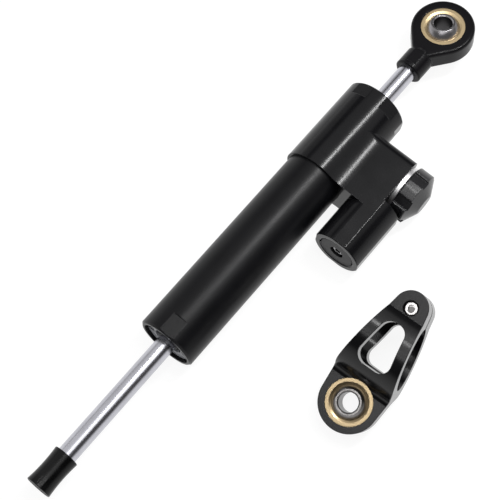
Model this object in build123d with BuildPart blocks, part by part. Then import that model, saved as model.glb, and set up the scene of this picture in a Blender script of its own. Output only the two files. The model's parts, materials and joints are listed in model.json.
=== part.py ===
"""Motorcycle steering damper with its tube clamp, as the two lie on a flat surface.

Millimetres. The damper is drawn along its own axis: x runs from the lower end of the tube to the rod end,
y points away from the reservoir and z is up. The clamp is drawn with its spherical bearing at the origin.
Both are then set down on the floor, and the origin is moved under the middle of the whole.
"""
import os
from math import asin, atan, atan2, cos, hypot, radians, sin, sqrt

from build123d import *

# Gaps, and the extra length of a cutter
seat_gap = 0.02
running_gap = 0.04
seal_gap = 0.1
stop_gap = 0.3
overrun = 2.0
wall_test_share = 0.01
o_ring_cord = 0.7
small_cord = 0.5

# Rod, piston and stroke
rod_radius = 4.0
rod_stroke = 75.0
rod_travel_down = 20.0
rod_hole_gap = 0.4
piston_length = 12.0
piston_clearance = 0.15
piston_ring_width = 4.0
piston_ring_depth = 1.2
rod_groove_depth = 0.5
circlip_width = 1.0
circlip_reach = 1.4
circlip_recess_reach = 2.0
circlip_opening = 3.0

# Tubes
inner_tube_bore = 9.0
inner_tube_wall = 0.8
oil_ring_gap = 1.2
tube_wall = 1.8
tube_rim_bevel = 0.8
tube_thread_length = 8.0
tube_flat_length = 9.2
tube_flat_depth = 0.46
inner_tube_seat = 2.0
oil_port_radius = 1.0

# Gland at the lower end, with the guide and seals of the rod
gland_recess = 1.4
gland_length = 14.6
gland_spigot_length = 3.0
gland_face_bevel = 0.6
spanner_hole_share = 0.75
spanner_hole_depth = 2.5
seal_thickness = 2.4
wiper_length = 2.6
wiper_lip = 0.8
seal_length = 3.4
bush_wall = 1.0
bush_length = 6.0

# Head with its block
head_step = 1.2
head_length = 42.9
head_rim_bevel = 0.6
head_flat_length = 6.2
head_flat_depth = 0.55
block_face_margin = 2.5
block_end_rounding = 5.0
block_end_margin = 10.0
web_blend_radius = 18.0

# Reservoir
reservoir_radius = 11.0
reservoir_flat_depth = 0.4
reservoir_gap = 3.7
reservoir_drop = 20.0
reservoir_wall = 2.5
reservoir_bore_depth = 24.4
reservoir_edge_bevel = 0.3
cap_thickness = 7.0
cap_recess = 0.3
cap_ring_cord = 0.35
cap_ring_arc = 345
fill_recess_radius = 3.1
fill_recess_depth = 1.4
fill_screw_radius = 2.5
fill_screw_length = 4.5
fill_head_rise = 0.6
fill_socket_size = 2.5
fill_socket_depth = 1.8
compensator_length = 5.0
compensator_travel = 3.0

# Adjuster and needle valve
knob_distance = 20.0
knob_radius = 11.6
knob_rim_length = 6.6
knob_cone_length = 3.5
knob_nose_radius = 4.6
knob_edge_bevel = 0.4
knob_groove_count = 6
knob_groove_width = 4.4
knob_groove_depth = 1.3
knob_groove_angle = 16
knob_shoulder_gap = 1.6
knob_lift = 0.15
hub_radius = 3.0
hub_length = 7.8
hub_clip_width = 0.6
hub_clip_reach = 0.8
hub_groove_depth = 0.5
flange_inset = 1.4
flange_thickness = 2.0
valve_radius = 5.0
valve_depth = 14.3
valve_recess_depth = 1.2
valve_recess_width = 2.2
valve_port_radius = 0.8
orifice_radius = 0.9
orifice_length = 2.0
guide_size = 5.0
guide_length = 5.0
needle_collar_gap = 0.05
needle_collar_length = 2.0
needle_travel = 0.36
needle_tip_radius = 0.3
needle_stem_radius = 1.2
needle_taper_share = 0.45
needle_shank_radius = 1.5
needle_shank_end = 5.0
detent_inset = 3.2
detent_ball_radius = 1.25
detent_ball_rise = 0.75
detent_hole_depth = 5.0
detent_wire_radius = 0.2
detent_coil_pitch = 0.65
reservoir_way_radius = 0.9
ring_way_radius = 0.4
chamber_way_radius = 0.9
chamber_way_margin = 0.1
plug_length = 2.5

# Spherical bearing that both eyes use
bearing_bore = 4.0
ball_radius = 7.94
ball_width = 12.0
ball_bore_bevel = 0.5
race_radius = 9.5
race_width = 9.0
race_inset = 0.25
race_face_width = 1.5
race_bevel_width = 1.6
race_bevel_depth = 0.8

# Rod end
eye_wall = 4.2
eye_edge_rounding = 1.5
eye_distance = 25.3
eye_lean = 4.8
neck_wall = 2.15
neck_length = 8.6
neck_taper_length = 4.0
neck_flat_margin = 2.1
neck_flat_length = 7.0
neck_flat_depth = 0.45
neck_edge_bevel = 0.5
rod_end_thread = 9.0
collar_gap = 1.4
ball_lean = 10
ball_lean_direction = 39

# Rubber end cap
end_cap_length = 16.1
end_cap_top_wall = 1.45
end_cap_waist_wall = 1.05
end_cap_foot_wall = 1.55
end_cap_cover = 2.5
end_cap_gap = 2.7
end_cap_edge = 0.4

# Clamp
clamp_distance = 27.0
clamp_bore_gap = 0.05
clamp_ring_wall = 5.75
clamp_eye_wall = 2.8
clamp_waist_distance = 10.3
clamp_waist_bulge = 0.7
clamp_screw_distance = 43.5
clamp_nose_radius = 6.95
clamp_half_lug = 13.0
clamp_slit = 2.0
clamp_window_near = 11.0
clamp_window_far = 8.9
clamp_window_near_half = 7.8
clamp_window_far_half = 4.4
clamp_window_corner_share = 0.98
clamp_edge_bevel = 0.2
clamp_plate_fillet = 3.0
clamp_screw_radius = 1.5
clamp_screw_length = 20.0
clamp_screw_play = 0.2
clamp_head_radius = 2.75
clamp_head_length = 3.0
clamp_head_bevel = 0.4
clamp_socket_size = 2.5
clamp_socket_depth = 1.5
clamp_pocket_radius = 3.1
clamp_pocket_depth = 5.0
clamp_place_x = 28.45
clamp_place_y = 70.15
clamp_yaw = 2.05

# Stations along the damper
gland_end = gland_recess + gland_length
chamber_end = gland_end + rod_stroke + 2 * stop_gap + piston_length
socket_end = chamber_end - inner_tube_seat
head_start = socket_end - tube_thread_length
head_end = head_start + head_length
piston_start = gland_end + stop_gap + rod_travel_down
rod_travel_up = rod_stroke - rod_travel_down
collar_start = head_end + rod_travel_down + collar_gap
eye_station = collar_start + eye_distance
end_cap_top = -rod_travel_up - end_cap_gap
end_cap_foot = end_cap_top - end_cap_length
reservoir_start = head_start - reservoir_drop
reservoir_bore_end = reservoir_start + reservoir_bore_depth
knob_station = head_start + knob_distance
reservoir_end = knob_station - knob_radius - knob_shoulder_gap
block_end = knob_station + block_end_margin

# Radii that follow from the others
inner_tube_radius = inner_tube_bore + inner_tube_wall
tube_bore = inner_tube_radius + oil_ring_gap
tube_radius = tube_bore + tube_wall
bush_radius = rod_radius + bush_wall
seal_pocket_radius = rod_radius + seal_thickness
circlip_radius = rod_radius + circlip_reach
circlip_recess_radius = rod_radius + circlip_recess_reach
neck_radius = rod_radius + neck_wall
end_cap_top_radius = rod_radius + end_cap_top_wall
end_cap_waist_radius = rod_radius + end_cap_waist_wall
end_cap_foot_radius = rod_radius + end_cap_foot_wall
head_radius = tube_radius + head_step
reservoir_bore = reservoir_radius - reservoir_wall
flange_radius = knob_radius - flange_inset
detent_circle = flange_radius - detent_inset
valve_recess_radius = valve_radius + valve_recess_depth
chamber_way_height = valve_recess_radius + chamber_way_margin
eye_radius = race_radius + eye_wall
eye_thickness = race_width + 2 * race_inset
clamp_bore = tube_radius + clamp_bore_gap
clamp_ring_radius = clamp_bore + clamp_ring_wall
clamp_eye_radius = race_radius + clamp_eye_wall
clamp_waist_radius = clamp_eye_radius + clamp_waist_bulge
clamp_half_plate = eye_thickness / 2
clamp_window_corner = clamp_window_corner_share * clamp_window_far_half

# The block between head and knob
reservoir_offset = tube_radius + reservoir_gap + reservoir_radius
block_half_height = reservoir_radius - reservoir_flat_depth
block_face = reservoir_offset + block_face_margin

# Distances out along the knob's axis, from the damper's axis
valve_floor = block_face - valve_depth
seat_end = valve_floor + orifice_length
guide_start = seat_end + orifice_radius
guide_end = guide_start + guide_length
recess_middle = guide_start + valve_recess_width / 2
flange_end = block_face + flange_thickness
knob_face = flange_end + knob_lift
knob_rim_end = knob_face + knob_rim_length
knob_nose = knob_rim_end + knob_cone_length
hub_end = knob_face - hub_length
clip_start = hub_end + stop_gap
clip_end = clip_start + hub_clip_width
clip_pocket_end = clip_end + running_gap
collar_end = guide_end - needle_travel - seal_gap
detent_ball_place = flange_end + detent_ball_rise

# How the damper lies: on the tube's rim, the head's lower rim and the knob's rim
damper_pitch = atan((head_radius - tube_radius) / head_start)
knob_rise = sin(damper_pitch) * knob_station + cos(damper_pitch) * tube_radius
knob_dip = asin(knob_rise / hypot(knob_rim_end, knob_radius)) - atan2(knob_radius, knob_rim_end)
roll_share = sin(knob_dip) / cos(damper_pitch)
upright_share = sqrt(1 - roll_share**2)
damper_place = Plane(origin=(0, 0, tube_radius * cos(damper_pitch)),
                     x_dir=(cos(damper_pitch), 0, sin(damper_pitch)),
                     z_dir=(-upright_share * sin(damper_pitch), -roll_share, upright_share * cos(damper_pitch)))

# How the clamp lies: on the edge of its eye and on its ring
clamp_reach = hypot(clamp_distance + clamp_eye_radius, clamp_half_plate)
clamp_rise = asin(clamp_ring_radius / clamp_reach) - atan2(clamp_half_plate, clamp_distance + clamp_eye_radius)
clamp_height = clamp_eye_radius * sin(clamp_rise) + clamp_half_plate * cos(clamp_rise)
clamp_heading = (cos(radians(clamp_yaw)), sin(radians(clamp_yaw)))
clamp_place = Plane(origin=(clamp_place_x, -clamp_place_y, clamp_height),
                    x_dir=(cos(clamp_rise) * clamp_heading[0], cos(clamp_rise) * clamp_heading[1], sin(clamp_rise)),
                    z_dir=(-sin(clamp_rise) * clamp_heading[0], -sin(clamp_rise) * clamp_heading[1],
                           cos(clamp_rise)))

# Planes of the turned pieces, which revolve about a plane's x direction
axis_plane = Plane.XY
reservoir_plane = Plane(origin=(0, -reservoir_offset, 0))
knob_plane = Plane(origin=(knob_station, 0, 0), x_dir=(0, -1, 0), z_dir=(0, 0, 1))
eye_roll = radians(eye_lean) + asin(roll_share)
eye_plane = Plane(origin=(eye_station, 0, 0), x_dir=(1, 0, 0), z_dir=(0, sin(eye_roll), cos(eye_roll)))
ball_lean_axis = Axis(eye_plane.origin, eye_plane.y_dir * cos(radians(ball_lean_direction))
                      - eye_plane.x_dir * sin(radians(ball_lean_direction)))
ball_plane = Plane(origin=eye_plane.origin, x_dir=ball_lean_axis.direction,
                   z_dir=eye_plane.z_dir.rotate(Axis((0, 0, 0), ball_lean_axis.direction), ball_lean))
clamp_plane = Plane.XY


def axle(plane):
    """The line that the pieces drawn in a plane are turned about."""
    return Axis(plane.origin, plane.x_dir)


def standing(plane):
    """A plane whose x direction is the given one's normal, for turned pieces of an eye."""
    return Plane(origin=plane.origin, x_dir=plane.z_dir, z_dir=plane.x_dir)


def knob_level(distance):
    """Plane across the knob's axis, at a distance out from the damper's axis."""
    return Plane(origin=(knob_station, -distance, 0), x_dir=(1, 0, 0), z_dir=(0, -1, 0))


def band(start, end, inner, outer):
    """Outline of a plain ring between two stations and two radii."""
    return [(start, inner), (end, inner), (end, outer), (start, outer)]


def groove(station, wall, cord):
    """Outline of the groove that holds an O-ring under a wall's radius."""
    half_width = cord + seat_gap
    return band(station - half_width, station + half_width, wall - 2 * cord - seat_gap, wall + overrun)


def turned(label, plane, outline, *cuts):
    """A turned piece: an outline of (station, radius) points less its cuts, revolved about the axle."""
    with BuildPart() as piece:
        with BuildSketch(plane):
            with BuildLine():
                Polyline(*outline, close=True)
            make_face()
            for cut in cuts:
                with BuildLine():
                    Polyline(*cut, close=True)
                make_face(mode=Mode.SUBTRACT)
        revolve(axis=axle(plane))
    piece.part.label = label
    return piece.part


def o_rings(label, plane, cord, *seats):
    """O-rings of one cord radius, each at a (station, radius) of its cord's centre."""
    with BuildPart() as rings:
        with BuildSketch(plane):
            with Locations(*seats):
                Circle(cord)
        revolve(axis=axle(plane))
    rings.part.label = label
    return rings.part


def outer_tube():
    """Outer tube with a bevelled lower rim and two wrench flats."""
    blank = turned("outer_tube", axis_plane,
                   [(0, tube_bore), (0, tube_radius - tube_rim_bevel), (tube_rim_bevel, tube_radius),
                    (socket_end, tube_radius), (socket_end, tube_bore)])
    with BuildPart() as tube:
        add(blank)
        for side in (1, -1):
            with BuildSketch(Plane.XY.offset(side * (tube_radius - tube_flat_depth))):
                with Locations((tube_flat_length, 0)):
                    Rectangle(tube_flat_length + overrun, 2 * tube_radius, align=(Align.MAX, Align.CENTER))
            extrude(amount=side * overrun, mode=Mode.SUBTRACT)
    tube.part.label = blank.label
    return tube.part


def inner_tube():
    """Pressure tube between gland and head, with oil ports near its lower end."""
    start = gland_end - gland_spigot_length + seat_gap
    blank = turned("inner_tube", axis_plane,
                   band(start, chamber_end - seat_gap, inner_tube_bore, inner_tube_radius))
    with BuildPart() as tube:
        add(blank)
        for port_plane in (Plane.XY, Plane.XZ):
            with BuildSketch(port_plane):
                with Locations((gland_end + 2 * oil_port_radius, 0)):
                    Circle(oil_port_radius)
            extrude(amount=tube_radius, both=True, mode=Mode.SUBTRACT)
    tube.part.label = blank.label
    return tube.part


def lower_gland():
    """Recessed plug in the lower end of the tube, and its O-ring."""
    pocket_end = gland_recess + wiper_length + seal_length
    bush_end = pocket_end + bush_length
    wall = tube_bore - seat_gap
    spigot_start = gland_end - gland_spigot_length
    spigot_wall = inner_tube_bore - seat_gap
    spanner_circle = (seal_pocket_radius + wall) / 2
    spanner_hole_radius = spanner_hole_share * (wall - seal_pocket_radius) / 2
    ring_station = spigot_start - 2 * o_ring_cord
    rod_hole = rod_radius + rod_hole_gap
    blank = turned("lower_gland", axis_plane,
                   [(gland_recess, seal_pocket_radius), (pocket_end, seal_pocket_radius),
                    (pocket_end, bush_radius), (bush_end, bush_radius), (bush_end, rod_hole),
                    (gland_end, rod_hole), (gland_end, spigot_wall), (spigot_start, spigot_wall),
                    (spigot_start, wall), (gland_recess + gland_face_bevel, wall),
                    (gland_recess, wall - gland_face_bevel)],
                   groove(ring_station, wall, o_ring_cord))
    with BuildPart() as gland:
        add(blank)
        with BuildSketch(Plane.YZ.offset(gland_recess)):
            with PolarLocations(spanner_circle, 2):
                Circle(spanner_hole_radius)
        extrude(amount=spanner_hole_depth, mode=Mode.SUBTRACT)
    gland.part.label = blank.label
    return [gland.part, o_rings("lower_gland_o_ring", axis_plane, o_ring_cord, (ring_station, wall - o_ring_cord))]


def rod_seals(end, start, inward):
    """Wiper, seal and guide bush of the rod, one after the other from a start inwards (1 is along x)."""
    wiper_end = start + inward * wiper_length
    seal_end = wiper_end + inward * seal_length
    bush_end = seal_end + inward * bush_length
    gap = inward * seat_gap
    lip = inward * wiper_lip
    rubber = rod_radius + seal_gap
    pocket = seal_pocket_radius - seat_gap
    wiper = turned(f"{end}_wiper", axis_plane,
                   [(start, rubber), (wiper_end - gap, rubber + wiper_lip), (wiper_end - gap, pocket),
                    (start + lip, pocket), (start + lip, rubber + wiper_lip), (start, rubber + wiper_lip / 2)])
    seal = turned(f"{end}_rod_seal", axis_plane, band(wiper_end + gap, seal_end - gap, rubber, pocket))
    bush = turned(f"{end}_bush", axis_plane,
                  band(seal_end + gap, bush_end - gap, rod_radius + running_gap, bush_radius - seat_gap))
    return [wiper, seal, bush]


def oil_ways():
    """Drillings that join both sides of the piston and the reservoir through the needle valve."""
    ring_distance = (tube_bore + inner_tube_radius) / 2
    to_knob = knob_station - chamber_end
    drillings = [
        (Plane.YZ.offset(reservoir_bore_end), (-recess_middle, 0), reservoir_way_radius,
         knob_station - valve_radius - reservoir_bore_end),
        (Plane.YZ.offset(socket_end), (-ring_distance, 0), ring_way_radius, knob_station - socket_end),
        (Plane.XZ.offset(ring_distance), (knob_station, 0), orifice_radius, valve_floor - ring_distance),
        (Plane.YZ.offset(chamber_end), (0, chamber_way_height), chamber_way_radius, to_knob),
        (Plane.XZ, (knob_station, chamber_way_height), chamber_way_radius, block_face)]
    with BuildPart() as ways:
        for plane, place, radius, length in drillings:
            with BuildSketch(plane):
                with Locations(place):
                    Circle(radius)
            extrude(amount=length)
    return ways.part


def head_bore():
    """Cutter for the tube's socket, the rod's hole and the pockets of its guide and seals."""
    seal_start = head_end - wiper_length - seal_length
    bush_start = seal_start - bush_length
    socket = tube_radius + seat_gap
    seat = inner_tube_radius + seat_gap
    rod_hole = rod_radius + rod_hole_gap
    ring_middle = tube_radius - tube_wall / 2
    ring_floor = socket_end + 2 * small_cord
    return turned("head_bore", axis_plane,
                  [(head_start - overrun, 0), (head_start - overrun, socket), (socket_end, socket),
                   (socket_end, ring_middle + small_cord), (ring_floor, ring_middle + small_cord),
                   (ring_floor, ring_middle - small_cord), (socket_end, ring_middle - small_cord),
                   (socket_end, seat), (chamber_end, seat), (chamber_end, rod_hole), (bush_start, rod_hole),
                   (bush_start, bush_radius), (seal_start, bush_radius), (seal_start, seal_pocket_radius),
                   (head_end + overrun, seal_pocket_radius), (head_end + overrun, 0)])


def reservoir_bore_cutter():
    """Cutter for the reservoir's bore and the groove of its snap ring."""
    ring_middle = reservoir_start + cap_recess + cap_ring_cord
    half_width = cap_ring_cord + seat_gap
    return turned("reservoir_bore", reservoir_plane,
                  [(reservoir_start - overrun, 0), (reservoir_start - overrun, reservoir_bore),
                   (ring_middle - half_width, reservoir_bore), (ring_middle - half_width, reservoir_bore + half_width),
                   (ring_middle + half_width, reservoir_bore + half_width),
                   (ring_middle + half_width, reservoir_bore), (reservoir_bore_end, reservoir_bore),
                   (reservoir_bore_end, 0)])


def valve_bore_cutter():
    """Cutter for the bore of the needle valve, with the ring of oil round its seat."""
    recess_end = guide_start + valve_recess_width
    return turned("valve_bore", knob_plane,
                  [(valve_floor, 0), (valve_floor, valve_radius), (guide_start, valve_radius),
                   (guide_start, valve_recess_radius), (recess_end, valve_recess_radius),
                   (recess_end, valve_radius), (block_face + overrun, valve_radius), (block_face + overrun, 0)])


def web():
    """Web from the head to the reservoir, led over to the head's round side, with a rounded free end."""
    reach = head_radius + web_blend_radius
    height = block_half_height + web_blend_radius
    out = sqrt(reach**2 - height**2)
    half_turn = atan2(out, height) / 2
    with BuildPart() as half:
        with BuildSketch(Plane.YZ.offset(head_start)):
            with BuildLine():
                ThreePointArc((-out, block_half_height),
                              (web_blend_radius * sin(half_turn) - out, height - web_blend_radius * cos(half_turn)),
                              (-out * head_radius / reach, height * head_radius / reach))
                Polyline((-out * head_radius / reach, height * head_radius / reach), (0, 0), (-block_face, 0),
                         (-block_face, block_half_height), (-out, block_half_height))
            make_face()
        extrude(amount=block_end - head_start)
        end_edges = half.edges().group_by(Axis.X)[-1]
        upper_edges = end_edges.filter_by_position(Axis.Z, block_half_height - stop_gap, head_radius)
        fillet(upper_edges, block_end_rounding)
        mirror(about=Plane.XY)
    return half.part


def head_block():
    """Head, web and reservoir housing, machined from one piece."""
    cutters = [head_bore(), reservoir_bore_cutter(), valve_bore_cutter(), oil_ways()]
    with BuildPart() as block:
        with BuildSketch(Plane.YZ.offset(head_start)):
            Circle(head_radius)
        extrude(amount=head_length)
        chamfer(block.edges().filter_by(GeomType.CIRCLE).group_by(Axis.X)[-1], head_rim_bevel)
        add(web())
        with BuildSketch(Plane.YZ.offset(reservoir_start)):
            with Locations((-reservoir_offset, 0)):
                Circle(reservoir_radius)
                Rectangle(2 * block_half_height, 2 * block_half_height, mode=Mode.INTERSECT)
        extrude(amount=reservoir_end - reservoir_start)
        chamfer(block.faces().sort_by(Axis.X)[0].outer_wire().edges(), reservoir_edge_bevel)
        with BuildSketch(Plane.YZ.offset(head_end)):
            Circle(head_radius + overrun)
            RegularPolygon(head_radius - head_flat_depth, 6, major_radius=False, rotation=30, mode=Mode.SUBTRACT)
        extrude(amount=-head_flat_length, mode=Mode.SUBTRACT)
        add(cutters, mode=Mode.SUBTRACT)
    block.part.label = "head_block"
    return block.part


def head_o_ring():
    """O-ring between the tube's upper end and the floor of its socket."""
    return o_rings("head_o_ring", axis_plane, small_cord - seat_gap,
                   (socket_end + small_cord, tube_radius - tube_wall / 2))


def passage_plug():
    """Plug that closes the crosswise drilling below the adjuster's flange."""
    with BuildPart() as plug:
        with BuildSketch(Plane.XZ.offset(block_face - stop_gap)):
            with Locations((knob_station, chamber_way_height)):
                Circle(chamber_way_radius - seat_gap)
        extrude(amount=-plug_length)
    plug.part.label = "passage_plug"
    return plug.part


def reservoir_cap():
    """Cap in the reservoir's end, with its O-ring and its snap ring."""
    face = reservoir_start + cap_recess
    inner_face = reservoir_start + cap_thickness
    recess_floor = face + fill_recess_depth
    wall = reservoir_bore - seat_gap
    notch = 2 * cap_ring_cord
    ring_station = inner_face - 2 * o_ring_cord
    cap = turned("reservoir_cap", reservoir_plane,
                 [(recess_floor, fill_screw_radius), (recess_floor, fill_recess_radius), (face, fill_recess_radius),
                  (face, wall - notch), (face + notch, wall - notch), (face + notch, wall), (inner_face, wall),
                  (inner_face, fill_screw_radius)],
                 groove(ring_station, wall, o_ring_cord))
    seal = o_rings("reservoir_cap_o_ring", reservoir_plane, o_ring_cord, (ring_station, wall - o_ring_cord))
    with BuildPart() as snap_ring:
        with BuildSketch(reservoir_plane):
            with Locations((face + cap_ring_cord, reservoir_bore)):
                Circle(cap_ring_cord)
        revolve(axis=axle(reservoir_plane), revolution_arc=cap_ring_arc)
    snap_ring.part.label = "reservoir_snap_ring"
    return [cap, seal, snap_ring.part]


def fill_screw():
    """Socket screw that closes the gas fill in the middle of the cap."""
    head = reservoir_start + cap_recess + fill_recess_depth - fill_head_rise
    radius = fill_screw_radius - seat_gap
    blank = turned("fill_screw", reservoir_plane,
                   [(head, 0), (head, radius - reservoir_edge_bevel), (head + reservoir_edge_bevel, radius),
                    (head + fill_screw_length, radius), (head + fill_screw_length, 0)])
    with BuildPart() as screw:
        add(blank)
        with BuildSketch(Plane(origin=(head, -reservoir_offset, 0), z_dir=(1, 0, 0))):
            RegularPolygon(fill_socket_size / 2, 6, major_radius=False)
        extrude(amount=fill_socket_depth, mode=Mode.SUBTRACT)
    screw.part.label = blank.label
    return screw.part


def compensator():
    """Floating piston between gas and oil, and its O-ring."""
    start = reservoir_bore_end - compensator_travel - compensator_length - stop_gap
    middle = start + compensator_length / 2
    wall = reservoir_bore - running_gap
    ring_wall = wall - seal_gap
    piston = turned("compensator_piston", reservoir_plane, band(start, start + compensator_length, 0, wall),
                    groove(middle, ring_wall, o_ring_cord))
    return [piston, o_rings("compensator_o_ring", reservoir_plane, o_ring_cord, (middle, ring_wall - o_ring_cord))]


def rod():
    """Through rod, grooved for a circlip at each end of the piston."""
    floor = rod_radius - rod_groove_depth
    piston_end = piston_start + piston_length
    return turned("rod", axis_plane,
                  band(end_cap_foot + end_cap_cover, collar_start + rod_end_thread, 0, rod_radius),
                  band(piston_start, piston_start + circlip_width, floor, rod_radius + overrun),
                  band(piston_end - circlip_width, piston_end, floor, rod_radius + overrun))


def piston():
    """Piston, its ring and the two circlips that hold it on the rod."""
    wall = inner_tube_bore - piston_clearance
    end = piston_start + piston_length
    middle = piston_start + piston_length / 2
    ring_start = middle - piston_ring_width / 2
    ring_end = middle + piston_ring_width / 2
    ring_floor = wall - piston_ring_depth
    recess = circlip_width + seat_gap
    hole = rod_radius + seat_gap
    body = turned("piston", axis_plane, band(piston_start, end, hole, wall),
                  band(ring_start, ring_end, ring_floor, wall + overrun),
                  band(piston_start - overrun, piston_start + recess, 0, circlip_recess_radius),
                  band(end - recess, end + overrun, 0, circlip_recess_radius))
    ring = turned("piston_ring", axis_plane,
                  band(ring_start + seat_gap, ring_end - seat_gap, ring_floor + seat_gap,
                       inner_tube_bore - running_gap))
    with BuildPart() as circlips:
        for station in (piston_start + seat_gap, end - circlip_width + seat_gap):
            with BuildSketch(Plane.YZ.offset(station)):
                Circle(circlip_radius)
                Circle(rod_radius - rod_groove_depth + seat_gap, mode=Mode.SUBTRACT)
                with Locations((0, circlip_radius)):
                    Rectangle(circlip_opening, 2 * circlip_radius, mode=Mode.SUBTRACT)
            extrude(amount=circlip_width - 2 * seat_gap)
    circlips.part.label = "piston_circlips"
    return [body, ring, circlips.part]


def bearing(eye, race_plane, ball_place):
    """Spherical bearing of an eye: a brass race and a steel ball."""
    race_axle = standing(race_plane)
    ball_axle = standing(ball_place)
    half_race = race_width / 2
    half_ball = ball_width / 2
    face_edge = race_radius - race_face_width
    bevel_edge = face_edge - race_bevel_width
    rim = bearing_bore + ball_bore_bevel
    with BuildPart() as race:
        with BuildSketch(race_axle):
            with BuildLine():
                Polyline((-half_race, race_radius - seat_gap), (-half_race, face_edge),
                         (race_bevel_depth - half_race, bevel_edge), (0, bearing_bore),
                         (half_race - race_bevel_depth, bevel_edge), (half_race, face_edge),
                         (half_race, race_radius - seat_gap), close=True)
            make_face()
            Circle(ball_radius + running_gap, mode=Mode.SUBTRACT)
        revolve(axis=axle(race_axle))
    race.part.label = f"{eye}_race"
    with BuildPart() as ball:
        with BuildSketch(ball_axle):
            with BuildLine():
                Polyline((-half_ball, race_radius), (-half_ball, rim), (ball_bore_bevel - half_ball, bearing_bore),
                         (half_ball - ball_bore_bevel, bearing_bore), (half_ball, rim), (half_ball, race_radius),
                         close=True)
            make_face()
            Circle(ball_radius, mode=Mode.INTERSECT)
        revolve(axis=axle(ball_axle))
    ball.part.label = f"{eye}_ball"
    return [race.part, ball.part]


def rod_end_housing():
    """Rod-end eye with a flared neck that is screwed onto the rod."""
    neck_start = -eye_distance
    neck_end = neck_start + neck_length
    flat_start = neck_start + neck_flat_margin
    half_plate = eye_thickness / 2
    half_web = sqrt(neck_radius**2 - half_plate**2)
    with BuildPart() as housing:
        with BuildSketch(eye_plane.offset(-half_plate)):
            Circle(eye_radius)
            with Locations((neck_end, 0)):
                Rectangle(neck_edge_bevel, 2 * half_web, align=(Align.MIN, Align.CENTER))
            make_hull()
        extrude(amount=eye_thickness)
        flat_faces = housing.faces().filter_by(Axis(eye_plane.origin, eye_plane.z_dir))
        fillet(flat_faces.edges(), eye_edge_rounding)
        with BuildSketch(eye_plane):
            with BuildLine():
                Polyline((neck_start, 0), (neck_start, neck_radius - neck_edge_bevel),
                         (neck_start + neck_edge_bevel, neck_radius), (neck_end, neck_radius),
                         (neck_end + neck_taper_length, half_plate - eye_edge_rounding / 2),
                         (neck_end + neck_taper_length, 0), close=True)
            make_face()
        revolve(axis=axle(eye_plane))
        for side in (1, -1):
            with BuildSketch(eye_plane.offset(side * (neck_radius - neck_flat_depth))):
                with Locations((flat_start, 0)):
                    Rectangle(neck_flat_length, 2 * neck_radius, align=(Align.MIN, Align.CENTER))
            extrude(amount=side * overrun, mode=Mode.SUBTRACT)
        with BuildSketch(eye_plane):
            with Locations((neck_start - overrun, 0)):
                Rectangle(rod_end_thread + overrun + stop_gap, rod_radius + seat_gap, align=Align.MIN)
        revolve(axis=axle(eye_plane), mode=Mode.SUBTRACT)
        with BuildSketch(eye_plane.offset(-eye_thickness)):
            Circle(race_radius)
        extrude(amount=2 * eye_thickness, mode=Mode.SUBTRACT)
    housing.part.label = "rod_end_housing"
    return housing.part


def rubber_end_cap():
    """Rubber cap with hollow sides on the lower end of the rod."""
    bore = rod_radius + seat_gap
    bore_end = end_cap_foot + end_cap_cover - seat_gap
    middle = (end_cap_top + end_cap_foot) / 2
    top_corner = (end_cap_top - end_cap_edge, end_cap_top_radius)
    foot_corner = (end_cap_foot + end_cap_edge, end_cap_foot_radius)
    with BuildPart() as cap:
        with BuildSketch(axis_plane):
            with BuildLine():
                ThreePointArc(top_corner, (middle, end_cap_waist_radius), foot_corner)
                Polyline(foot_corner, (end_cap_foot, end_cap_foot_radius - end_cap_edge), (end_cap_foot, 0),
                         (bore_end, 0), (bore_end, bore), (end_cap_top, bore),
                         (end_cap_top, end_cap_top_radius - end_cap_edge), top_corner)
            make_face()
        revolve(axis=axle(axis_plane))
    cap.part.label = "rubber_end_cap"
    return cap.part


def valve_seat():
    """Seat of the needle, with the six-sided guide that keeps the needle from turning."""
    wall = valve_radius - seat_gap
    start = valve_floor + seat_gap
    ring_station = valve_floor + small_cord + 2 * stop_gap
    blank = turned("valve_seat", knob_plane,
                   [(start, orifice_radius), (seat_end, orifice_radius), (guide_start, guide_size / 2),
                    (guide_end, guide_size / 2), (guide_end, wall), (start, wall)],
                   groove(ring_station, wall, small_cord))
    with BuildPart() as seat:
        add(blank)
        with BuildSketch(knob_level(guide_start)):
            RegularPolygon(guide_size / 2, 6, major_radius=False)
        extrude(amount=guide_length, mode=Mode.SUBTRACT)
        with BuildSketch(Plane.YZ.offset(knob_station)):
            with Locations((-recess_middle, 0)):
                Circle(valve_port_radius)
        extrude(amount=valve_radius, both=True, mode=Mode.SUBTRACT)
    seat.part.label = blank.label
    return seat.part


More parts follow.
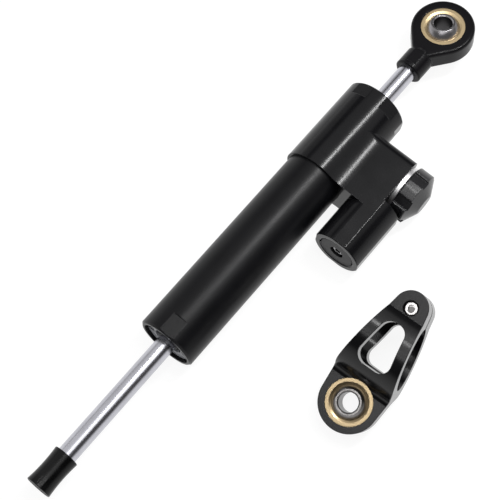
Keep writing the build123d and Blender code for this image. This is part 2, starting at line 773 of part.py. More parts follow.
def adjuster_bush():
    """Bright flanged bush that the knob's hub turns in, with the O-rings round and inside the valve."""
    wall = valve_radius - seat_gap
    hub_wall = hub_radius + running_gap
    clip_wall = hub_wall + hub_clip_reach
    hub_ring_station = clip_pocket_end + small_cord + stop_gap
    outer_ring_station = hub_ring_station + 2 * small_cord + stop_gap
    seat_ring_station = valve_floor + small_cord + 2 * stop_gap
    hub_ring_floor = hub_radius + seal_gap + 2 * small_cord + seat_gap
    half_width = small_cord + seat_gap
    blank = turned("adjuster_bush", knob_plane,
                   [(guide_end, clip_wall), (clip_pocket_end, clip_wall), (clip_pocket_end, hub_wall),
                    (flange_end, hub_wall), (flange_end, flange_radius - stop_gap),
                    (flange_end - stop_gap, flange_radius), (block_face, flange_radius), (block_face, wall),
                    (guide_end, wall)],
                   groove(outer_ring_station, wall, small_cord),
                   band(hub_ring_station - half_width, hub_ring_station + half_width, hub_radius, hub_ring_floor))
    with BuildPart() as bush:
        add(blank)
        with BuildSketch(knob_plane):
            with Locations((detent_ball_place, detent_circle)):
                Circle(detent_ball_radius + running_gap)
        revolve(axis=axle(knob_plane), mode=Mode.SUBTRACT)
    bush.part.label = blank.label
    outside = o_rings("valve_o_rings", knob_plane, small_cord, (seat_ring_station, wall - small_cord),
                      (outer_ring_station, wall - small_cord))
    inside = o_rings("adjuster_o_ring", knob_plane, small_cord,
                     (hub_ring_station, hub_radius + seal_gap + small_cord))
    return [bush.part, outside, inside]


def valve_needle():
    """Needle with a six-sided collar, moved in and out by the thread in the knob's hub."""
    closed_radius = orifice_radius - running_gap
    tip = seat_end - (closed_radius - needle_tip_radius) / needle_taper_share + needle_travel
    stem = tip + (needle_stem_radius - needle_tip_radius) / needle_taper_share
    collar_start = collar_end - needle_collar_length
    shank_end = hub_end + needle_shank_end
    blank = turned("valve_needle", knob_plane,
                   [(tip, 0), (tip, needle_tip_radius), (stem, needle_stem_radius),
                    (collar_start, needle_stem_radius), (collar_end, needle_shank_radius),
                    (shank_end, needle_shank_radius), (shank_end, 0)])
    with BuildPart() as needle:
        add(blank)
        with BuildSketch(knob_level(collar_start)):
            RegularPolygon(guide_size / 2 - needle_collar_gap, 6, major_radius=False)
        extrude(amount=needle_collar_length)
    needle.part.label = blank.label
    return needle.part


def adjuster_knob():
    """Grooved knob with a cone-shaped front and a hollow hub."""
    hub_hole = needle_shank_radius + seat_gap
    hole_end = hub_end + needle_shank_end + needle_travel + stop_gap
    ball_hole_start = knob_face - overrun
    clip_floor = hub_radius - hub_groove_depth
    blank = turned("adjuster_knob", knob_plane,
                   [(hub_end, hub_hole), (hub_end, hub_radius), (knob_face, hub_radius),
                    (knob_face, knob_radius - knob_edge_bevel), (knob_face + knob_edge_bevel, knob_radius),
                    (knob_rim_end, knob_radius), (knob_nose, knob_nose_radius), (knob_nose, 0), (hole_end, 0),
                    (hole_end, hub_hole)],
                   band(clip_start, clip_end, clip_floor, hub_radius + overrun))
    with BuildPart() as knob:
        add(blank)
        with BuildSketch(knob_level(knob_face)):
            with PolarLocations(knob_radius - knob_groove_depth, knob_groove_count, start_angle=knob_groove_angle):
                Rectangle(overrun, knob_groove_width, align=(Align.MIN, Align.CENTER))
        extrude(amount=knob_rim_length + knob_cone_length, mode=Mode.SUBTRACT)
        groove_edges = knob.edges().filter_by(Axis.Y).filter_by(
            lambda edge: hypot(edge.center().X - knob_station, edge.center().Z) > knob_radius - knob_edge_bevel)
        chamfer(groove_edges, knob_edge_bevel)
        with BuildSketch(knob_level(ball_hole_start)):
            with Locations((-detent_circle, 0)):
                Circle(detent_ball_radius + running_gap)
        extrude(amount=detent_hole_depth + overrun, mode=Mode.SUBTRACT)
    knob.part.label = blank.label
    return knob.part


def knob_circlip():
    """Circlip on the inner end of the knob's hub."""
    with BuildPart() as clip:
        with BuildSketch(knob_level(clip_start + seat_gap)):
            Circle(hub_radius + hub_clip_reach - running_gap)
            Circle(hub_radius - hub_groove_depth + seat_gap, mode=Mode.SUBTRACT)
            with Locations((0, hub_radius)):
                Rectangle(hub_radius, hub_radius + hub_clip_reach, mode=Mode.SUBTRACT)
        extrude(amount=hub_clip_width - 2 * seat_gap)
    clip.part.label = "knob_circlip"
    return clip.part


def detent():
    """Ball that clicks in the flange's track, and its spring in the knob."""
    with BuildPart() as ball:
        with Locations((knob_station - detent_circle, -detent_ball_place, 0)):
            Sphere(detent_ball_radius)
    ball.part.label = "detent_ball"
    spring_start = detent_ball_place + detent_ball_radius + stop_gap + detent_wire_radius
    spring_end = knob_face + detent_hole_depth - detent_wire_radius - seat_gap
    coil_radius = detent_ball_radius - 2 * detent_wire_radius
    with BuildPart() as spring:
        with BuildLine() as coil:
            Helix(detent_coil_pitch, spring_end - spring_start, coil_radius,
                  center=(knob_station - detent_circle, -spring_start, 0), direction=(0, -1, 0))
        with BuildSketch(Plane(origin=coil.line @ 0, z_dir=coil.line % 0)):
            Circle(detent_wire_radius)
        sweep()
    spring.part.label = "detent_spring"
    return [ball.part, spring.part]


def clamp_body():
    """Split clamp ring with a window through its two arms, an eye at one end and a lug at the other."""
    reach = clamp_screw_distance + clamp_nose_radius
    window_start = clamp_distance - clamp_window_near
    window_end = clamp_distance + clamp_window_far
    ledge = clamp_distance - sqrt(clamp_ring_radius**2 - clamp_half_plate**2)
    with BuildPart() as clamp:
        with BuildSketch(clamp_plane.offset(-clamp_ring_radius)):
            Circle(clamp_eye_radius)
            with Locations((clamp_waist_distance, 0)):
                Circle(clamp_waist_radius)
            with Locations((clamp_screw_distance, 0)):
                Circle(clamp_nose_radius)
            make_hull()
        extrude(amount=2 * clamp_ring_radius)
        with BuildSketch(Plane.XZ) as side:
            with Locations((-2 * clamp_eye_radius, 0)):
                Rectangle(clamp_distance + 2 * clamp_eye_radius, 2 * clamp_half_plate, align=(Align.MIN, Align.CENTER))
            with Locations((clamp_distance, 0)):
                Circle(clamp_ring_radius)
                Rectangle(reach, 2 * clamp_half_lug, align=(Align.MIN, Align.CENTER))
            fillet(side.vertices().filter_by_position(Axis.X, ledge - stop_gap, ledge + stop_gap), clamp_plate_fillet)
        extrude(amount=clamp_eye_radius + overrun, both=True, mode=Mode.INTERSECT)
        with BuildSketch(clamp_plane.offset(-clamp_ring_radius)) as window:
            with BuildLine():
                Polyline((window_start, clamp_window_near_half), (window_end, clamp_window_far_half),
                         (window_end, -clamp_window_far_half), (window_start, -clamp_window_near_half), close=True)
            make_face()
            fillet(window.vertices(), clamp_window_corner)
        extrude(amount=2 * clamp_ring_radius, mode=Mode.SUBTRACT)
        walls = clamp.faces().filter_by(lambda face: abs(face.normal_at().Z) < wall_test_share)
        chamfer(walls.edges().filter_by(Axis.Z, reverse=True), clamp_edge_bevel)
        with BuildSketch(Plane.XZ):
            with Locations((clamp_distance, 0)):
                Circle(clamp_bore)
                Rectangle(reach, clamp_slit, align=(Align.MIN, Align.CENTER))
        extrude(amount=clamp_eye_radius + overrun, both=True, mode=Mode.SUBTRACT)
        with BuildSketch(clamp_plane.offset(-clamp_ring_radius)):
            Circle(race_radius)
        extrude(amount=2 * clamp_ring_radius, mode=Mode.SUBTRACT)
        with BuildSketch(clamp_plane.offset(clamp_half_lug)):
            with Locations((clamp_screw_distance, 0)):
                Circle(clamp_pocket_radius)
        extrude(amount=-clamp_pocket_depth, mode=Mode.SUBTRACT)
        with BuildSketch(clamp_plane):
            with Locations((clamp_screw_distance, 0)):
                Circle(clamp_screw_radius + clamp_screw_play)
        extrude(amount=clamp_half_lug, mode=Mode.SUBTRACT)
        with BuildSketch(clamp_plane):
            with Locations((clamp_screw_distance, 0)):
                Circle(clamp_screw_radius + seat_gap)
        extrude(amount=-clamp_half_lug, mode=Mode.SUBTRACT)
    clamp.part.label = "clamp_body"
    return clamp.part


def clamp_screw():
    """Socket screw that draws the two lugs of the clamp together."""
    seat = clamp_half_lug - clamp_pocket_depth
    top = seat + clamp_head_length
    screw_axle = Plane(origin=(clamp_screw_distance, 0, 0), x_dir=(0, 0, 1), z_dir=(1, 0, 0))
    blank = turned("clamp_screw", screw_axle,
                   [(seat - clamp_screw_length, 0), (seat - clamp_screw_length, clamp_screw_radius),
                    (seat, clamp_screw_radius), (seat, clamp_head_radius), (top - clamp_head_bevel, clamp_head_radius),
                    (top, clamp_head_radius - clamp_head_bevel), (top, 0)])
    with BuildPart() as screw:
        add(blank)
        with BuildSketch(clamp_plane.offset(top)):
            with Locations((clamp_screw_distance, 0)):
                RegularPolygon(clamp_socket_size / 2, 6, major_radius=False)
        extrude(amount=-clamp_socket_depth, mode=Mode.SUBTRACT)
    screw.part.label = blank.label
    return screw.part


damper_pieces = [outer_tube(), inner_tube(), *lower_gland(), *rod_seals("lower", gland_recess, 1),
                 head_block(), head_o_ring(), *rod_seals("head", head_end, -1), passage_plug(),
                 *reservoir_cap(), fill_screw(), *compensator(),
                 valve_seat(), *adjuster_bush(), valve_needle(), adjuster_knob(), knob_circlip(), *detent(),
                 rod(), *piston(), rod_end_housing(), *bearing("rod_end", eye_plane, ball_plane), rubber_end_cap()]
clamp_pieces = [clamp_body(), clamp_screw(), *bearing("clamp", clamp_plane, clamp_plane)]

# Both are set down where they lie, and the origin goes under the middle of the whole
laid = [(piece, damper_place) for piece in damper_pieces] + [(piece, clamp_place) for piece in clamp_pieces]
bounds = Compound([piece.moved(place.location) for piece, place in laid]).bounding_box()
centring = Location((-bounds.center().X, -bounds.center().Y, -bounds.min.Z))

os.makedirs("parts", exist_ok=True)
for piece, place in laid:
    placed = piece.moved(centring * place.location)
    placed.label = piece.label
    export_step(placed, f"parts/{placed.label}.step")
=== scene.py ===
import json
from math import atan2, cos, pi, radians, sin

import bmesh
import bpy
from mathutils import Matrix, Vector


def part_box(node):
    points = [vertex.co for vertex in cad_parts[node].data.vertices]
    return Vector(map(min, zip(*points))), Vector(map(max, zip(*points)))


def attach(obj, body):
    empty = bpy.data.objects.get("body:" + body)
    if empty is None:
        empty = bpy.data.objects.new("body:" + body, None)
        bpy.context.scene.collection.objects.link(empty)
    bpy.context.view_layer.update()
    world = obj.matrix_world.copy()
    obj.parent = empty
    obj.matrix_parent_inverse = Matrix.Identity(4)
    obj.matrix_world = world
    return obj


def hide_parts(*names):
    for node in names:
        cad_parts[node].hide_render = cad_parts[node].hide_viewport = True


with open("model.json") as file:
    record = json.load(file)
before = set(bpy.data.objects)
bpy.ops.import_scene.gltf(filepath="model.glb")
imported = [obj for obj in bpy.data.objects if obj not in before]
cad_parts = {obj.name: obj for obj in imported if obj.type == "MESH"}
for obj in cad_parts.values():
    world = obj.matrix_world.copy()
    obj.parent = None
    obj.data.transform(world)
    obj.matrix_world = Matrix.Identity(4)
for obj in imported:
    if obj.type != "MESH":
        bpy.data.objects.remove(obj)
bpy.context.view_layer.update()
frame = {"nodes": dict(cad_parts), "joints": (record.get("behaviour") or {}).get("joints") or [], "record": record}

# Motorcycle steering damper and its clamp, lying on a white surface under soft studio light.
# Lengths are in metres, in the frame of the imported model.


# Axles that the marks of turning and grinding run round

def joint_axis(name):
    """Axis of a packed joint."""
    return Vector(next(entry for entry in frame["joints"] if entry["name"] == name)["axis"])


def mount(name):
    """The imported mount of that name."""
    return next(entry for entry in frame["record"]["mounts"] if entry["name"] == name)


def mount_axle(name):
    """Centre and axis of a packed mount."""
    return Vector(mount(name)["pos_m"]), Vector(mount(name)["axis"])


def middle(node):
    """Middle of a CAD node's box."""
    low, high = (Vector(corner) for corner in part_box(node))
    return (low + high) / 2


rod_axis = joint_axis("rod_slide")
clamp_eye_axle = mount_axle("clamp_eye_bore")

axles = {
    "damper": (middle("head_bush"), rod_axis),
    "reservoir": (middle("fill_screw"), rod_axis),
    "knob": (middle("adjuster_o_ring"), joint_axis("adjuster_turn")),
    "eye": mount_axle("rod_end_bore"),
    "clamp_eye": clamp_eye_axle,
    "clamp_ring": mount_axle("clamp_ring_bore"),
    "clamp_screw": (middle("clamp_screw"), clamp_eye_axle[1]),
}

# Radii inside which the balls' bores and the screws' sockets are darkened, as painted shade in these recesses
ball_bore = mount("rod_end_bore")["dims"]["r_mm"] / 1000
socket_shade_reach = 0.0013


# Node building

def new_material(name):
    """A new material with its node tree and its Principled shader."""
    material = bpy.data.materials.new(name)
    material.use_nodes = True
    return material, material.node_tree, material.node_tree.nodes["Principled BSDF"]


def add_node(tree, kind, inputs=(), **settings):
    """A node with its settings, and its inputs linked or set by name or number."""
    node = tree.nodes.new(kind)
    for key, value in settings.items():
        setattr(node, key, value)
    for key, value in dict(inputs).items():
        if isinstance(value, bpy.types.NodeSocket):
            tree.links.new(value, node.inputs[key])
        else:
            node.inputs[key].default_value = value
    return node


def calculate(tree, operation, first, second, third=0.0):
    """Result of an operation on numbers."""
    inputs = {0: first, 1: second, 2: third}
    return add_node(tree, "ShaderNodeMath", inputs, operation=operation).outputs[0]


def combine(tree, operation, first, second=(0, 0, 0)):
    """Result of an operation on vectors, a number for a dot product or a length."""
    node = add_node(tree, "ShaderNodeVectorMath", {0: first, 1: second}, operation=operation)
    return node.outputs["Value" if operation in ("DOT_PRODUCT", "LENGTH") else "Vector"]


def scaled(tree, vector, factor):
    """A vector times a number."""
    inputs = {"Vector": vector, "Scale": factor}
    return add_node(tree, "ShaderNodeVectorMath", inputs, operation="SCALE").outputs["Vector"]


def remap(tree, value, start, end, low=0.0, high=1.0):
    """A value's range from start to end carried over to low to high, and clamped there."""
    inputs = {"Value": value, "From Min": start, "From Max": end, "To Min": low, "To Max": high}
    return add_node(tree, "ShaderNodeMapRange", inputs).outputs[0]


def noise(tree, vector, scale, detail=3.0, roughness=0.5):
    """Noise factor at a vector."""
    inputs = {"Vector": vector, "Scale": scale, "Detail": detail, "Roughness": roughness}
    return add_node(tree, "ShaderNodeTexNoise", inputs).outputs[0]


def surface_point(tree):
    """Position in the object's own coordinates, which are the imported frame's at rest."""
    return add_node(tree, "ShaderNodeTexCoord").outputs["Object"]


def about_axle(tree, axle):
    """Distance along an axle, distance from it, and the vector out from it to the surface."""
    centre, axis = axles[axle]
    offset = combine(tree, "SUBTRACT", surface_point(tree), tuple(centre))
    along = combine(tree, "DOT_PRODUCT", offset, tuple(axis))
    outward = combine(tree, "SUBTRACT", offset, scaled(tree, tuple(axis), along))
    return along, combine(tree, "LENGTH", outward), outward


def ring_marks(tree, axle, spacing, run):
    """Fine marks that run round an axle: spacing across them and run along them."""
    along, distance, outward = about_axle(tree, axle)
    inputs = {"X": calculate(tree, "MULTIPLY", along, 1 / spacing),
              "Y": calculate(tree, "MULTIPLY", distance, 1 / spacing)}
    across = add_node(tree, "ShaderNodeCombineXYZ", inputs).outputs[0]
    place = combine(tree, "ADD", across, scaled(tree, outward, 1 / run))
    return noise(tree, place, scale=1.0, detail=2.0, roughness=0.6)


def rounded_normal(tree, radius, samples):
    """Normal with the edges rounded off by a radius."""
    return add_node(tree, "ShaderNodeBevel", {"Radius": radius}, samples=samples).outputs[0]


def edge_share(tree, reach):
    """1 on a worn edge and 0 on a flat or round face, from how far a rounded normal turns away."""
    plain = add_node(tree, "ShaderNodeNewGeometry").outputs["Normal"]
    likeness = combine(tree, "DOT_PRODUCT", rounded_normal(tree, reach, 4), plain)
    return remap(tree, likeness, 0.998, 0.93)


def tint(colour, factor):
    """A colour made lighter or darker by a factor."""
    return [min(1.0, factor * part) for part in colour]


def mix_colour(tree, share, plain, other):
    """Mix of two colours by a share."""
    node = add_node(tree, "ShaderNodeMix", data_type="RGBA")
    tree.links.new(share, node.inputs["Factor"])
    for socket, colour in ((node.inputs[6], plain), (node.inputs[7], other)):
        if isinstance(colour, bpy.types.NodeSocket):
            tree.links.new(colour, socket)
        else:
            socket.default_value = (*colour, 1)
    return node.outputs[2]


def uneven_roughness(tree, shader, lowest, marks, marks_swing, cloud, cloud_swing):
    """Roughness from its lowest value up, by the fine marks and by a cloud."""
    clouded = calculate(tree, "MULTIPLY_ADD", cloud, cloud_swing, lowest)
    tree.links.new(calculate(tree, "MULTIPLY_ADD", marks, marks_swing, clouded),
                   shader.inputs["Roughness"])


def relief(tree, shader, height, depth, rounding):
    """Bump of a height map over edges that are rounded off, so that they catch the light."""
    inputs = {"Height": height, "Distance": depth, "Strength": 1.0,
              "Normal": rounded_normal(tree, rounding, 6)}
    tree.links.new(add_node(tree, "ShaderNodeBump", inputs).outputs[0], shader.inputs["Normal"])


# Kinds of material

# Colour of the edges, where the black dye is worn thin
worn_dye = (0.016, 0.0165, 0.018)


def anodised(name, axle, colour, roughness, ior, mark_depth, spacing=0.16e-3, rounding=0.4e-3, shine=0.5):
    """Black anodised aluminium: turning marks, uneven dye, and thinner dye on the edges."""
    material, tree, shader = new_material(name)
    marks = ring_marks(tree, axle, spacing, run=4e-3)
    cloud = noise(tree, surface_point(tree), scale=90.0, detail=4.0)
    dyed = mix_colour(tree, remap(tree, cloud, 0.3, 0.7), colour, tint(colour, 1.35))
    worn = mix_colour(tree, edge_share(tree, 0.25e-3), dyed, worn_dye)
    tree.links.new(worn, shader.inputs["Base Color"])
    uneven_roughness(tree, shader, roughness - 0.09, marks, 0.1, cloud, 0.08)
    shader.inputs["IOR"].default_value = ior
    shader.inputs["Specular IOR Level"].default_value = shine
    relief(tree, shader, marks, mark_depth, rounding)
    return material


def metal(name, axle, colour, roughness, mark_depth, spacing=0.12e-3, run=4e-3, bore=0.0):
    """Turned or ground bare metal with marks round an axle, a faint uneven tint, and painted shade inside the
    bore's radius.
    """
    material, tree, shader = new_material(name)
    marks = ring_marks(tree, axle, spacing, run)
    cloud = noise(tree, surface_point(tree), scale=140.0, detail=3.0)
    tinted = mix_colour(tree, remap(tree, cloud, 0.3, 0.7), colour, tint(colour, 0.88))
    edged = mix_colour(tree, edge_share(tree, 0.2e-3), tinted, tint(colour, 1.15))
    # Painted shade: inside the bore's radius the colour drops to 0.18 of itself, standing in for shade in the bore
    # or socket
    distance = about_axle(tree, axle)[1]
    outside_bore_shade = remap(tree, distance, bore + 0.03e-3, bore + 0.1e-3)
    tree.links.new(mix_colour(tree, outside_bore_shade, tint(colour, 0.18), edged), shader.inputs["Base Color"])
    shader.inputs["Metallic"].default_value = 1.0
    uneven_roughness(tree, shader, roughness - 0.06, marks, 0.08, cloud, 0.05)
    relief(tree, shader, marks, mark_depth, rounding=0.3e-3)
    return material


def rubber(name, colour, roughness, grain_size, shine=0.5):
    """Moulded rubber or plastic with a fine grain and a dusty bloom."""
    material, tree, shader = new_material(name)
    point = surface_point(tree)
    grain = noise(tree, point, scale=1 / grain_size, detail=3.0, roughness=0.6)
    bloom = noise(tree, point, scale=260.0, detail=4.0)
    dusty = mix_colour(tree, remap(tree, bloom, 0.45, 0.75), colour, tint(colour, 1.9))
    tree.links.new(dusty, shader.inputs["Base Color"])
    uneven = calculate(tree, "MULTIPLY_ADD", bloom, 0.16, roughness - 0.08)
    tree.links.new(uneven, shader.inputs["Roughness"])
    shader.inputs["IOR"].default_value = 1.3
    shader.inputs["Specular IOR Level"].default_value = shine
    bumps = add_node(tree, "ShaderNodeBump", {"Height": grain, "Distance": 0.01e-3, "Strength": 1.0})
    tree.links.new(bumps.outputs[0], shader.inputs["Normal"])
    return material


# Materials of the damper and the clamp

tube_black = anodised("tube_black", "damper", (0.003, 0.003, 0.0037), roughness=0.34, ior=1.28,
                      mark_depth=14e-6, spacing=0.3e-3)
head_black = anodised("head_black", "damper", (0.0045, 0.0045, 0.0052), roughness=0.18, ior=1.3,
                      mark_depth=1e-6, spacing=0.3e-3)
gland_black = anodised("gland_black", "damper", (0.2, 0.205, 0.22), roughness=0.4, ior=1.5,
                       mark_depth=4e-6)
cap_black = anodised("cap_black", "reservoir", (0.008, 0.008, 0.009), roughness=0.38, ior=1.28,
                     mark_depth=6e-6, shine=0.35)
knob_black = anodised("knob_black", "knob", (0.009, 0.009, 0.01), roughness=0.25, ior=1.5,
                      mark_depth=3e-6)
eye_black = anodised("eye_black", "eye", (0.0045, 0.0042, 0.005), roughness=0.24, ior=1.24,
                     mark_depth=1e-6, rounding=0.9e-3)
clamp_black = anodised("clamp_black", "clamp_ring", (0.003, 0.003, 0.0034), roughness=0.2, ior=1.38,
                       mark_depth=0.5e-6, rounding=0.2e-3)

inner_aluminium = metal("inner_aluminium", "damper", (0.75, 0.75, 0.77), roughness=0.3, mark_depth=2e-6)
rod_chrome = metal("rod_chrome", "damper", (0.54, 0.54, 0.585), roughness=0.24, mark_depth=0.1e-6,
                   spacing=0.08e-3, run=10e-3)
eye_ball_steel = metal("eye_ball_steel", "eye", (0.36, 0.35, 0.36), roughness=0.3, mark_depth=1e-6,
                       bore=ball_bore)
clamp_ball_steel = metal("clamp_ball_steel", "clamp_eye", (0.25, 0.24, 0.235), roughness=0.28,
                         mark_depth=1e-6, bore=ball_bore)
knob_steel = metal("knob_steel", "knob", (0.6, 0.6, 0.61), roughness=0.25, mark_depth=1e-6)
bush_bright = metal("bush_bright", "knob", (0.93, 0.92, 0.93), roughness=0.42, mark_depth=2e-6)
screw_steel = metal("screw_steel", "reservoir", (0.6, 0.6, 0.61), roughness=0.3, mark_depth=1e-6,
                    bore=socket_shade_reach)
clamp_screw_steel = metal("clamp_screw_steel", "clamp_screw", (0.72, 0.7, 0.69), roughness=0.3,
                          mark_depth=1e-6, bore=socket_shade_reach)
ring_steel = metal("ring_steel", "reservoir", (0.1, 0.1, 0.105), roughness=0.35, mark_depth=1e-6)
eye_brass = metal("eye_brass", "eye", (0.72, 0.56, 0.33), roughness=0.4, mark_depth=3e-6)
clamp_brass = metal("clamp_brass", "clamp_eye", (0.46, 0.355, 0.21), roughness=0.3, mark_depth=2e-6)
seat_brass = metal("seat_brass", "knob", (0.86, 0.66, 0.33), roughness=0.3, mark_depth=2e-6)
bush_bronze = metal("bush_bronze", "damper", (0.55, 0.38, 0.22), roughness=0.35, mark_depth=2e-6)

cap_rubber_colour = (0.0015, 0.0015, 0.0017)
cap_rubber = rubber("cap_rubber", cap_rubber_colour, roughness=0.26, grain_size=0.3e-3)
# The foot's copy of the cap rubber barely reflects: painted shade, standing in for the shadowed floor that the
# foot would mirror
cap_foot_shade_rubber = rubber("cap_foot_shade_rubber", cap_rubber_colour, roughness=0.26, grain_size=0.3e-3,
                         shine=0.006)
seal_rubber = rubber("seal_rubber", (0.01, 0.01, 0.01), roughness=0.5, grain_size=0.2e-3)
ring_plastic = rubber("ring_plastic", (0.3, 0.22, 0.15), roughness=0.45, grain_size=0.2e-3)

dress = {
    tube_black: ["outer_tube"],
    head_black: ["head_block"],
    gland_black: ["lower_gland"],
    cap_black: ["reservoir_cap"],
    knob_black: ["adjuster_knob"],
    eye_black: ["rod_end_housing"],
    clamp_black: ["clamp_body"],
    inner_aluminium: ["inner_tube", "piston", "compensator_piston"],
    rod_chrome: ["rod"],
    eye_ball_steel: ["rod_end_ball", "piston_circlips"],
    clamp_ball_steel: ["clamp_ball"],
    knob_steel: ["knob_circlip", "valve_needle", "detent_ball", "detent_spring", "passage_plug"],
    bush_bright: ["adjuster_bush"],
    screw_steel: ["fill_screw"],
    clamp_screw_steel: ["clamp_screw"],
    ring_steel: ["reservoir_snap_ring"],
    eye_brass: ["rod_end_race"],
    clamp_brass: ["clamp_race"],
    seat_brass: ["valve_seat"],
    bush_bronze: ["lower_bush", "head_bush"],
    seal_rubber: ["lower_gland_o_ring", "lower_rod_seal", "lower_wiper", "head_o_ring", "head_rod_seal",
                  "head_wiper", "reservoir_cap_o_ring", "valve_o_rings", "adjuster_o_ring",
                  "compensator_o_ring"],
    ring_plastic: ["piston_ring"],
}
for material, names in dress.items():
    for name in names:
        for slot in frame["nodes"][name].material_slots:
            slot.link = "OBJECT"
            slot.material = material


# Rubber end cap: the solid's own sizes, with soft rims and moulded ribs added

cap_length = 0.0161
cap_bore = 0.00402
cap_top_radius, cap_waist_radius, cap_foot_radius = 0.00543, 0.00503, 0.00553
cap_rim = 0.0004
cap_rim_steps = 5
cap_side_steps = 28
cap_turns = 96
foot_flat_radius = cap_foot_radius - 2.4 * cap_rim
foot_hollow = 0.00008
mouth_bevel = 0.0003
rib_angles = (radians(8), radians(-22))
rib_width = radians(7)
rib_length = 0.0046
rib_height = 0.00016
rib_taper = 0.0008


def hollow_side(share):
    """Radius of the cap's hollow side at a share of the length from the foot."""
    straight = cap_foot_radius + (cap_top_radius - cap_foot_radius) * share
    sag = (cap_foot_radius + cap_top_radius) / 2 - cap_waist_radius
    return straight - sag * 4 * share * (1 - share)


def cap_outline():
    """Stations from the foot, and radii, of the cap's outside from its flat foot to its mouth."""
    rim_share = cap_rim / cap_length
    rim_turns = [step / cap_rim_steps * pi / 2 for step in range(1, cap_rim_steps)]
    foot_rim, top_rim = cap_foot_radius - cap_rim, cap_top_radius - cap_rim
    side_shares = [rim_share + (1 - 2 * rim_share) * step / cap_side_steps
                   for step in range(cap_side_steps + 1)]
    return [
        (0.0, foot_flat_radius),
        (0.0, foot_rim),
        *[(cap_rim * (1 - cos(turn)), foot_rim + cap_rim * sin(turn)) for turn in rim_turns],
        *[(share * cap_length, hollow_side(share)) for share in side_shares],
        *[(cap_length - cap_rim + cap_rim * sin(turn), top_rim + cap_rim * cos(turn)) for turn in rim_turns],
        (cap_length, top_rim),
        (cap_length, cap_bore + mouth_bevel),
        (cap_length - mouth_bevel, cap_bore),
    ]


def rib_lift(station, angle):
    """How far the moulded ribs stand out of the side."""
    if not cap_rim < station < rib_length:
        return 0.0
    lift = 0.0
    for rib_angle in rib_angles:
        turned = angle - rib_angle
        across = abs(atan2(sin(turned), cos(turned))) / (rib_width / 2)
        if across < 1:
            lift += rib_height * (1 - across**2) * min(1.0, (rib_length - station) / rib_taper)
    return lift


def cap_mesh():
    """Mesh of the cap round the rod's axis, with its foot in a material of its own that barely reflects, as
    painted shade.
    """
    start = middle("rubber_end_cap") - rod_axis * (cap_length / 2)
    side = Vector((0, 0, 1)).cross(rod_axis).normalized()
    up = rod_axis.cross(side)
    angles = [2 * pi * turn / cap_turns for turn in range(cap_turns)]
    shape = bmesh.new()
    rows = []
    for station, radius in cap_outline():
        rows.append([shape.verts.new(start + rod_axis * station
                                     + (up * cos(angle) + side * sin(angle))
                                     * (radius + rib_lift(station, angle)))
                     for angle in angles])
    foot = shape.verts.new(start + rod_axis * foot_hollow)
    for turn in range(cap_turns):
        following = (turn + 1) % cap_turns
        shape.faces.new((foot, rows[0][following], rows[0][turn])).material_index = 1
        for lower, upper in zip(rows, rows[1:]):
            face = shape.faces.new((lower[turn], lower[following], upper[following], upper[turn]))
            face.material_index = int(lower is rows[0])
    bmesh.ops.recalc_face_normals(shape, faces=shape.faces)
    mesh = bpy.data.meshes.new("end_cap_rubber")
    shape.to_mesh(mesh)
    shape.free()
    mesh.shade_smooth()
    mesh.materials.append(cap_rubber)
    mesh.materials.append(cap_foot_shade_rubber)
    return mesh


def rubber_cap():
    """The rubber cap on the rod's lower end, with hollow sides, soft rims and two moulded ribs."""
    piece = bpy.data.objects.new("end_cap_rubber", cap_mesh())
    bpy.context.scene.collection.objects.link(piece)
    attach(piece, "rod_assembly")
    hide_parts("rubber_end_cap")


rubber_cap()


# Floor, surroundings and lights

# The floor glows for the camera and for mirrors, and its own colour there shows the shadows
floor_reach = 4.0
floor_height = -0.03e-3
camera_glow = 0.89
shadow_share = 0.16


def floor_material():
    """Pale floor, white where the camera or a mirror sees it, and darker in the object's shadow."""
    material, tree, shader = new_material("floor_white")
    tree.nodes.remove(shader)
    plain = add_node(tree, "ShaderNodeBsdfDiffuse", {"Color": (0.8, 0.8, 0.8, 1)})
    shadow = add_node(tree, "ShaderNodeBsdfDiffuse", {"Color": (shadow_share, shadow_share, shadow_share, 1)})
    glow = add_node(tree, "ShaderNodeEmission", {"Color": (1, 1, 1, 1), "Strength": camera_glow})
    seen = add_node(tree, "ShaderNodeAddShader", {0: glow.outputs[0], 1: shadow.outputs[0]})
    path = add_node(tree, "ShaderNodeLightPath").outputs
    direct = calculate(tree, "ADD", path["Is Camera Ray"], path["Is Glossy Ray"])
    direct = calculate(tree, "ADD", direct, path["Is Transmission Ray"])
    both = add_node(tree, "ShaderNodeMixShader", {0: direct, 1: plain.outputs[0], 2: seen.outputs[0]})
    tree.links.new(both.outputs[0], tree.nodes["Material Output"].inputs["Surface"])
    return material


def pale_floor():
    """White floor that keeps the shadows of the object."""
    mesh = bpy.data.meshes.new("floor")
    corners = [(-1, -1), (1, -1), (1, 1), (-1, 1)]
    mesh.from_pydata([(x * floor_reach, y * floor_reach, floor_height) for x, y in corners],
                     [], [(0, 1, 2, 3)])
    mesh.materials.append(floor_material())
    floor = bpy.data.objects.new("floor", mesh)
    bpy.context.scene.collection.objects.link(floor)


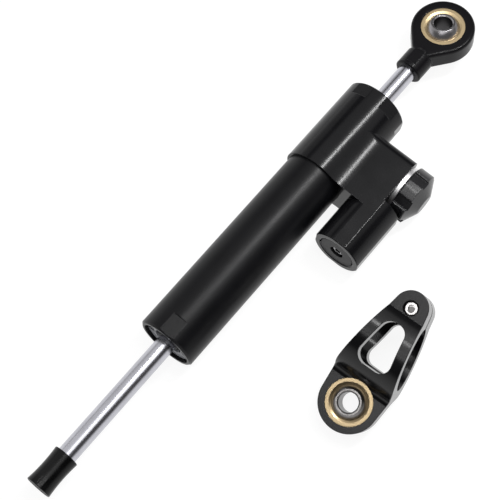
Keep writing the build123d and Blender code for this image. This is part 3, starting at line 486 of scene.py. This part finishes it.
def surroundings():
    """White walls up to a low height, and a dark room above them."""
    world = bpy.data.worlds.new("studio")
    bpy.context.scene.world = world
    world.use_nodes = True
    tree = world.node_tree
    direction = add_node(tree, "ShaderNodeTexCoord").outputs["Generated"]
    height = add_node(tree, "ShaderNodeSeparateXYZ", {0: direction}).outputs["Z"]
    level = remap(tree, height, 0.12, 0.3, low=0.75, high=0.06)
    seen = add_node(tree, "ShaderNodeLightPath").outputs["Is Camera Ray"]
    background = tree.nodes["Background"]
    background.inputs["Color"].default_value = (1, 1, 1, 1)
    tree.links.new(calculate(tree, "MAXIMUM", level, seen), background.inputs["Strength"])


def panel(name, place, size, radiance, heading=0.0, tilt=0.0):
    """Rectangular area light of an even radiance that points down.

    heading is the direction of its long side, and tilt turns it about that side.
    """
    lamp = bpy.data.lights.new(name, "AREA")
    lamp.shape = "RECTANGLE"
    lamp.size, lamp.size_y = size
    lamp.energy = pi * size[0] * size[1] * radiance
    light = bpy.data.objects.new(name, lamp)
    light.location = place
    light.rotation_euler = (tilt, 0, heading)
    bpy.context.scene.collection.objects.link(light)


pale_floor()
surroundings()
panel("overhead_panel", (0.198, 0.086, 0.53), (1.6, 0.58), radiance=0.75, heading=atan2(-0.8, 0.6))
panel("head_lamp", (0.257, -0.087, 0.5), (0.26, 0.03), radiance=62.0, heading=atan2(0.025, -0.068))
panel("rod_lamp", (-0.115, -0.09, 0.5), (0.46, 0.24), radiance=1.75, heading=atan2(0.013, -0.053))
panel("clamp_lamp_near", (0.04, 0.03, 0.5), (0.035, 0.1), radiance=22.0)
panel("clamp_lamp_far", (-0.218, 0.02, 0.5), (0.024, 0.08), radiance=36.0)
panel("side_panel", (0.0, 0.95, 0.35), (2.0, 0.6), radiance=0.5, tilt=radians(-80))


# Camera

camera_from_foot = Vector((-0.1176, -0.1397, 0.5242))
camera_tilt = radians(23.27)
camera_heading = radians(-50.58)


def camera():
    """The photograph's viewpoint, set out from where the tube's lower end stands on the floor."""
    low, high = (Vector(corner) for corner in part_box("outer_tube"))
    foot = Vector((low.x, (low.y + high.y) / 2, 0))
    lens = bpy.data.cameras.new("camera")
    lens.lens = 99.1
    lens.sensor_width = 36.0
    lens.clip_start = 0.01
    viewer = bpy.data.objects.new("camera", lens)
    viewer.location = foot + camera_from_foot
    viewer.rotation_euler = (camera_tilt, 0, camera_heading)
    bpy.context.scene.collection.objects.link(viewer)
    bpy.context.scene.camera = viewer


camera()
bpy.context.scene.view_settings.view_transform = "Standard"
